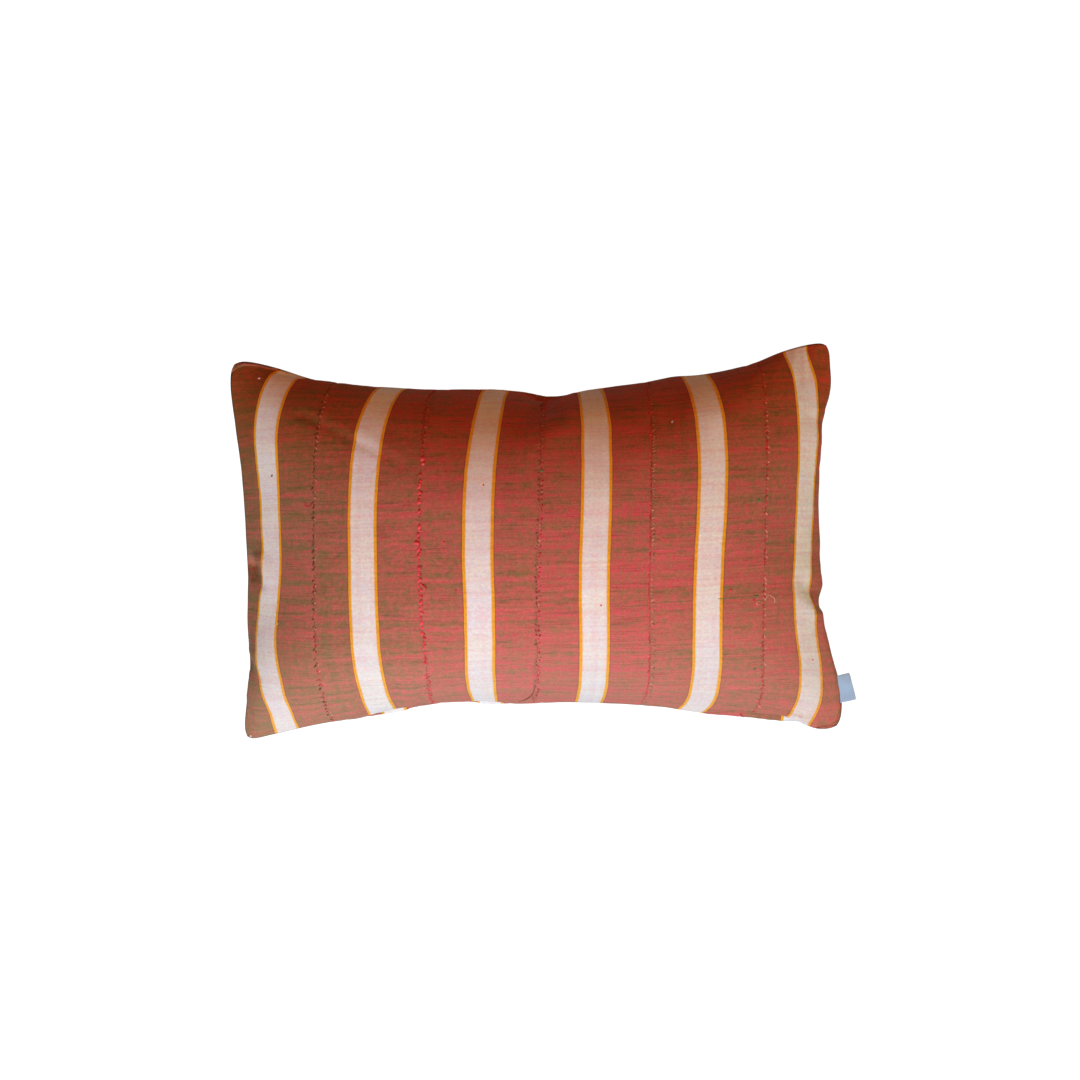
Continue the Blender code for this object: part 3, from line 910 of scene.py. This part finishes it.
# place, half length, half width, height, lean in degrees, colour
KNOTS = (
    (8.5, 65.2, 1.2, 1.1, 0.8, 20.0, "green"),
    (202.3, 32.7, 1.5, 0.9, 0.7, -30.0, "green"),
    (196.6, -119.6, 1.5, 0.9, 0.7, -25.0, "green"),
    (197.4, -50.8, 1.6, 0.8, 0.6, 80.0, "green"),
    (194.4, -54.2, 1.3, 1.0, 0.6, 20.0, "dark red"),
    (-94.3, 78.2, 2.6, 2.0, 1.2, 15.0, "bright red"),
    (-93.6, 74.0, 1.8, 1.5, 1.0, -15.0, "bright red"),
    (-95.9, 55.4, 1.7, 1.3, 0.9, 10.0, "bright red"),
    (-96.7, 39.7, 1.9, 1.6, 1.0, 10.0, "bright red"),
    (-98.6, 4.8, 1.6, 2.6, 1.0, 20.0, "bright red"),
    (-96.2, -4.0, 1.4, 1.0, 0.8, 0.0, "bright red"),
    (-241.2, 68.1, 1.3, 1.0, 0.5, 40.0, "blue"),
    (-257.8, 163.6, 1.0, 0.7, 0.4, 60.0, "lint"),
    (-236.8, -65.1, 0.8, 0.7, 0.4, 10.0, "lint"),
    (-282.1, -177.2, 1.3, 0.8, 0.5, 60.0, "lint"),
    (123.1, 110.0, 1.4, 0.8, 0.5, 30.0, "grey"),
    (-41.4, 53.4, 1.0, 0.9, 0.4, 0.0, "red"),
    (56.4, -52.3, 1.2, 0.8, 0.4, 0.0, "bright red"),
    (258.4, -112.6, 0.9, 0.9, 0.4, 0.0, "red"),
    (171.6, -44.0, 1.3, 1.2, 0.6, 0.0, "bright red"),
    (-75.0, 5.2, 0.9, 0.8, 0.5, 0.0, "dark red"),
    (-66.3, -36.0, 1.0, 0.9, 0.5, 0.0, "dark red"),
)


def dyed_all(part, name):
    """Give all of a mesh's points one thread colour."""
    dyed(part, np.tile(np.array(THREAD_COLOURS[name]), (len(part.vertices), 1)))


loose = []
for thickness, colour, route in LOOSE_THREADS:
    route = np.array(route)
    place, away = on_cover(1, 0.001 * route[:, 0], 0.001 * route[:, 1])
    place = place + 0.001 * route[:, 2:] * away
    bpy.ops.object.select_all(action="DESELECT")
    bpy.ops.curve.primitive_nurbs_path_add(location=(0.0, 0.0, 0.0))
    thread = bpy.context.active_object
    spline = thread.data.splines[0]
    spline.points.add(max(0, len(place) - len(spline.points)))
    for k, point in enumerate(spline.points):
        point.co = (*place[min(k, len(place) - 1)], 1.0)
    spline.resolution_u = THREAD_POINTS_BETWEEN
    thread.data.bevel_depth = 0.0005 * thickness
    thread.data.bevel_resolution = 1
    thread.data.use_fill_caps = True
    bpy.ops.object.convert(target="MESH")
    dyed_all(thread.data, colour)
    loose.append(thread)
for k, (x, y, half_length, half_width, rise, lean, colour) in enumerate(KNOTS):
    bpy.ops.object.select_all(action="DESELECT")
    bpy.ops.mesh.primitive_ico_sphere_add(subdivisions=2, radius=1.0, location=(0.0, 0.0, 0.0))
    knot = bpy.context.active_object
    ball = points_of(knot.data)
    ball *= 1.0 + 0.35 * wander(ball, 0.9, 40.0 + 3.0 * k)[:, None]
    turn = math.radians(lean)
    ahead = ball[:, 0] * half_width * math.cos(turn) + ball[:, 1] * half_length * math.sin(turn)
    up = ball[:, 1] * half_length * math.cos(turn) - ball[:, 0] * half_width * math.sin(turn)
    place, away = on_cover(1, 0.001 * (x + ahead), 0.001 * (y + up))
    move_points(knot.data, place + 0.001 * rise * (0.2 + ball[:, 2:]) * away)
    dyed_all(knot.data, colour)
    loose.append(knot)
bpy.ops.object.select_all(action="DESELECT")
for thread in loose:
    thread.select_set(True)
bpy.context.view_layer.objects.active = loose[0]
bpy.ops.object.join()
bpy.ops.object.shade_smooth()
loose_threads = bpy.context.active_object
loose_threads.name = "loose_threads"
loose_threads.data.name = "loose_threads"
loose_threads.data.materials.clear()
loose_threads.data.materials.append(cotton)
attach(loose_threads, "root")


# The side tab: a short length of pale blue woven tape, folded in two, its cut ends caught in the right
# seam near the lower ear. Both faces are plain tape.
TAPE_WIDTH = 0.0255
TAPE_LENGTH = 0.0300
TAPE_THICKNESS = 0.0005
FOLD_RADIUS = 0.0007
TAPE_SEAM_FROM = -0.1517
TAPE_SEAM_TO = -0.1265
FOLD_FROM = (0.2945, -0.1483, 0.0702)
FOLD_TO = (0.2880, -0.1237, 0.0712)
TAPE_SLACK = 0.0005
CAUGHT_IN_SEAM = 0.0018
TAPE_ROUNDING = 0.0011
# Its ribs and threads, in millimetres, and its colours
RIB_PITCH = 0.55
THREAD_PITCH = 0.42
TAPE_DARK = (0.400, 0.600, 0.820)
TAPE_LIGHT = (0.460, 0.670, 0.890)
TAPE_SPECK = (0.66, 0.78, 0.88)
TAPE_WORN = (0.64, 0.78, 0.90)


def tape_weave():
    """Pale blue tape: fine ribs across and a little wear at the fold."""
    tape = Finish("tab_tape")
    maths, times, blend = tape.maths, tape.times, tape.blend
    across, length = tape.map_axes("tape")
    across = times(across, 1000.0 * TAPE_WIDTH)
    length = times(length, 1000.0 * TAPE_LENGTH)
    ribs = maths("SINE", times(length, 2.0 * math.pi / RIB_PITCH))
    threads = maths("SINE", times(across, 2.0 * math.pi / THREAD_PITCH))
    uneven = tape.grain(maths("DIVIDE", across, 6.0), maths("DIVIDE", length, 1.1), 0.0, 2.0)
    specks = tape.grain(maths("DIVIDE", across, 0.5), maths("DIVIDE", length, 0.5), 3.0)
    colour = tape.ramp(uneven, (0.30, TAPE_DARK), (0.70, TAPE_LIGHT))
    colour = blend(times(tape.step(specks, 0.55, 0.75), 0.35), colour, TAPE_SPECK)
    to_fold = maths("ABSOLUTE", maths("SUBTRACT", length, 500.0 * TAPE_LENGTH))
    colour = blend(times(tape.step(to_fold, 1.2, 0.2), 0.40), colour, TAPE_WORN)
    tape.feed(tape.shader.inputs["Base Color"], colour)
    tape.shader.inputs["Roughness"].default_value = 0.62
    tape.shader.inputs["Specular IOR Level"].default_value = 0.35
    tape.shader.inputs["Sheen Weight"].default_value = 0.10
    relief = maths("MULTIPLY_ADD", threads, 0.4, maths("ADD", ribs, specks))
    tape.feed(tape.shader.inputs["Normal"], tape.bump(relief, 0.00008))
    return tape.material


bpy.ops.object.select_all(action="DESELECT")
bpy.ops.mesh.primitive_grid_add(x_subdivisions=14, y_subdivisions=36, size=1.0, location=(0.0, 0.0, 0.0))
tape = bpy.context.active_object
tape.name = "side_tab"
tape.data.name = "side_tab"
tape.data.uv_layers[0].name = "tape"
laid = points_of(tape.data)
place_along = laid[:, 0] + 0.5
from_fold = laid[:, 1] * TAPE_LENGTH
turn = np.clip(from_fold / FOLD_RADIUS, -0.5 * math.pi, 0.5 * math.pi)
straight = np.abs(from_fold) - 0.5 * math.pi * FOLD_RADIUS
inward = np.where(straight > 0.0, FOLD_RADIUS + straight, FOLD_RADIUS * (1.0 - np.cos(turn)))
right_seam = seam_lines["right"]
seam_y = TAPE_SEAM_FROM + place_along * (TAPE_SEAM_TO - TAPE_SEAM_FROM)
seam_x = np.interp(seam_y, right_seam[:, 1], right_seam[:, 0])
seam_z = np.interp(seam_y, right_seam[:, 1], right_seam[:, 2])
root = np.stack([seam_x, seam_y, seam_z], axis=1)
fold = np.array(FOLD_FROM) + place_along[:, None] * (np.array(FOLD_TO) - np.array(FOLD_FROM))
reach = np.linalg.norm(root - fold, axis=1)
corner = np.minimum(place_along, 1.0 - place_along) * TAPE_WIDTH
inward += 0.0005 * np.exp(-((corner / TAPE_ROUNDING) ** 2)) * np.exp(-np.abs(from_fold) / 0.002)
share = np.minimum(inward / reach, 1.0 + CAUGHT_IN_SEAM / reach)
laid = fold + share[:, None] * (root - fold)
layers = FOLD_RADIUS * np.sin(turn) * (1.0 - 0.45 * np.clip(share, 0.0, 1.0))
slack = TAPE_SLACK * np.sin(math.pi * np.clip(share, 0.0, 1.0)) * np.cos(2.6 * math.pi * place_along + 0.6)
laid[:, 2] += layers + slack
move_points(tape.data, laid)
bpy.ops.object.modifier_add(type="SOLIDIFY")
tape.modifiers[-1].thickness = TAPE_THICKNESS
tape.modifiers[-1].offset = 0.0
bpy.ops.object.modifier_apply(modifier=tape.modifiers[-1].name)
bpy.ops.object.modifier_add(type="BEVEL")
tape.modifiers[-1].width = 0.00015
tape.modifiers[-1].segments = 2
tape.modifiers[-1].limit_method = "ANGLE"
tape.modifiers[-1].angle_limit = math.radians(50.0)
bpy.ops.object.modifier_apply(modifier=tape.modifiers[-1].name)
bpy.ops.object.shade_smooth()
tape.data.materials.append(tape_weave())
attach(tape, "root")
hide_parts("tab")


# The floor, the light and the camera. The cushion lies on a white table top; a large cool lamp stands low
# beyond its bottom edge, weak lamps fill in from both sides, and a dim warm one hangs overhead. The camera
# looks straight down.
FLOOR_SIZE = 12.0
FLOOR_LEVEL = -0.0003
SEAM_HALF_FRAME = 0.5022
CAMERA_DISTANCE = 0.95
SENSOR = 36.0
LAMP_TARGET = (0.0, 0.0, 0.1)
# name, place, size, colour, watts
LAMPS = (
    ("key", (-0.2725, -1.2820, 1.0180), 0.72, (0.65, 0.855, 1.00), 29.1),
    ("right_fill", (2.6410, 0.0000, 0.6610), 1.2, (0.72, 1.00, 0.76), 25.0),
    ("left_fill", (-2.6410, 0.0000, 0.6610), 1.2, (0.05, 1.00, 1.00), 7.0),
    ("overhead", (0.0000, 0.0000, 2.8000), 1.2, (1.00, 0.25, 0.02), 32.0),
)


def aimed_lamp(name, place, size, colour, watts):
    """A square area lamp at a place, turned to the cushion."""
    aim = (Vector(LAMP_TARGET) - Vector(place)).to_track_quat("-Z", "Y").to_euler()
    bpy.ops.object.light_add(type="AREA", location=place, rotation=aim)
    lamp = bpy.context.active_object
    lamp.name = name
    lamp.visible_camera = False
    lamp.data.size = size
    lamp.data.color = colour
    lamp.data.energy = watts


bpy.ops.object.select_all(action="DESELECT")
bpy.ops.mesh.primitive_plane_add(size=FLOOR_SIZE, location=(0.0, 0.0, FLOOR_LEVEL))
floor = bpy.context.active_object
floor.name = "floor"
floor.visible_diffuse = False
pale = Finish("pale_floor")
pale.shader.inputs["Base Color"].default_value = (0.16, 0.20, 0.22, 1.0)
pale.shader.inputs["Roughness"].default_value = 0.9
pale.shader.inputs["Specular IOR Level"].default_value = 0.0
pale.shader.inputs["Emission Color"].default_value = (1.0, 1.0, 1.0, 1.0)
pale.shader.inputs["Emission Strength"].default_value = 1.0
floor.data.materials.append(pale.material)
for lamp in LAMPS:
    aimed_lamp(*lamp)

world = bpy.data.worlds.new("studio")
bpy.context.scene.world = world
world.use_nodes = True
sky = world.node_tree
# The cushion sees a warm glow from below and almost nothing above; the camera sees plain white
below = sky.nodes["Background"]
below.inputs["Color"].default_value = (0.250, 0.190, 0.150, 1.0)
above = sky.nodes.new("ShaderNodeBackground")
above.inputs["Color"].default_value = (0.012, 0.006, 0.002, 1.0)
seen = sky.nodes.new("ShaderNodeBackground")
seen.inputs["Color"].default_value = (1.0, 1.0, 1.0, 1.0)
direction = sky.nodes.new("ShaderNodeTexCoord")
height = sky.nodes.new("ShaderNodeSeparateXYZ")
is_above = sky.nodes.new("ShaderNodeMath")
is_above.operation = "GREATER_THAN"
is_above.inputs[1].default_value = 0.0
path = sky.nodes.new("ShaderNodeLightPath")
unseen = sky.nodes.new("ShaderNodeMixShader")
choice = sky.nodes.new("ShaderNodeMixShader")
for output, socket in (
    (direction.outputs["Generated"], height.inputs[0]),
    (height.outputs[2], is_above.inputs[0]),
    (is_above.outputs[0], unseen.inputs[0]),
    (below.outputs[0], unseen.inputs[1]),
    (above.outputs[0], unseen.inputs[2]),
    (path.outputs["Is Camera Ray"], choice.inputs[0]),
    (unseen.outputs[0], choice.inputs[1]),
    (seen.outputs[0], choice.inputs[2]),
    (choice.outputs[0], sky.nodes["World Output"].inputs["Surface"]),
):
    sky.links.new(output, socket)

bpy.ops.object.camera_add(location=(0.0, 0.0, SEAM_LEVEL + CAMERA_DISTANCE), rotation=(0.0, 0.0, 0.0))
camera = bpy.context.active_object
camera.data.sensor_width = SENSOR
camera.data.lens = 0.5 * SENSOR * CAMERA_DISTANCE / SEAM_HALF_FRAME
bpy.context.scene.camera = camera
bpy.context.scene.view_settings.view_transform = "Standard"
